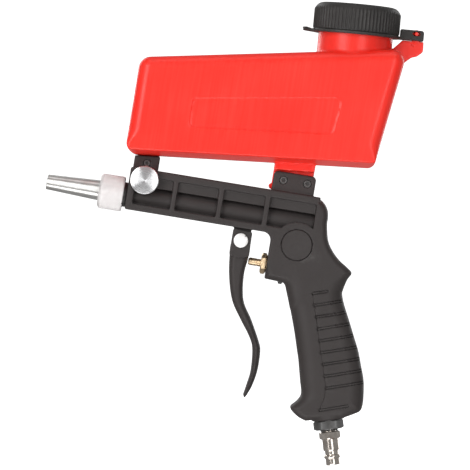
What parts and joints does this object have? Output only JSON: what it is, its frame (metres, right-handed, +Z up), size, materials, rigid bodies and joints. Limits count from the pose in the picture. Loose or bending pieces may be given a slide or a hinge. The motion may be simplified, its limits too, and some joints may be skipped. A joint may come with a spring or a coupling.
{
  "type": "gravity-feed sand blasting gun",
  "caption": "Hand-held air blasting gun: abrasive falls from a capped hopper through a valve into the barrel, and a squeezed trigger lets air blow it out of the nozzle.",
  "frame": {"origin": "the middle of the hand grip, where a hand holds the gun", "axes": "+X to the rear along the barrel (the nozzle points to -X), +Z up with the hopper on top, +Y across with the sand knob on the -Y side"},
  "size_m": [0.2589, 0.0656, 0.3417],
  "materials": {
    "black_casting": "black powder coat, satin",
    "red_plastic": "moulded, semi-gloss",
    "black_plastic": "moulded, satin",
    "seal_rubber": "matte",
    "aluminium": "turned",
    "steel": "turned",
    "brass": "turned",
    "nickel": "plated",
    "black_steel": "black oxide"
  },
  "bodies": {
    "gun": {"gun_body": "black_casting", "side_disc_left": "black_casting", "side_disc_right": "black_casting", "nozzle_adapter": "black_steel", "nozzle_seal": "seal_rubber", "nozzle": "steel", "air_jet": "brass", "hopper": "red_plastic", "spout_seal": "seal_rubber", "spout_screw_left": "black_steel", "spout_screw_right": "black_steel", "lug_screw_front": "black_steel", "lug_screw_rear": "black_steel", "lug_nut_front": "black_steel", "lug_nut_rear": "black_steel", "spindle_seal_left": "seal_rubber", "spindle_seal_right": "seal_rubber", "trigger_pin": "steel", "trigger_pin_clip": "steel", "valve_seat": "brass", "valve_spring": "steel", "valve_gland": "brass", "gland_seal": "seal_rubber", "passage_screw": "black_steel", "inlet_bushing": "black_steel", "inlet_washer": "seal_rubber", "inlet_plug": "nickel"},
    "trigger": {"trigger": "black_casting"},
    "valve": {"valve_stem": "brass", "poppet_seal": "seal_rubber"},
    "sand_valve": {"sand_knob": "aluminium", "sand_spindle": "steel", "spindle_clip": "steel"},
    "nozzle_nut": {"nozzle_nut": "aluminium"},
    "lid": {"lid_collar": "black_plastic"},
    "cap": {"filler_cap": "black_plastic", "cap_gasket": "seal_rubber"}
  },
  "joints": [
    {"name": "trigger_squeeze", "type": "hinge", "parent": "gun", "child": "trigger", "pos_m": [-0.0741, 0, 0.0625], "axis": [0, -1, 0], "range_deg": [0, 13], "stiffness_Nm_per_rad": 0.4, "springref_deg": -34.38},
    {"name": "valve_push", "type": "slide", "parent": "gun", "child": "valve", "axis": [1, 0, 0], "range_m": [0, 0.0036], "stiffness_N_per_m": 400, "springref_m": -0.004, "deforming": ["valve_spring"]},
    {"name": "sand_valve_turn", "type": "hinge", "parent": "gun", "child": "sand_valve", "pos_m": [-0.1513, 0, 0.0949], "axis": [0, -1, 0], "range_deg": [0, 90]},
    {"name": "nozzle_nut_turn", "type": "hinge", "parent": "gun", "child": "nozzle_nut", "pos_m": [-0.174, 0, 0.0822], "axis": [-1, 0, 0], "continuous": true},
    {"name": "lid_swing", "type": "hinge", "parent": "gun", "child": "lid", "pos_m": [0.0295, 0, 0.23401], "axis": [0, 1, 0], "range_deg": [0, 110]},
    {"name": "cap_turn", "type": "hinge", "parent": "lid", "child": "cap", "pos_m": [-0.0149, 0, 0.2281], "axis": [-0.0698, 0, 0.9976], "continuous": true}
  ],
  "couplings": [
    {"joint": "valve_push", "follows": "trigger_squeeze", "m_per_rad": 0.0154}
  ]
}
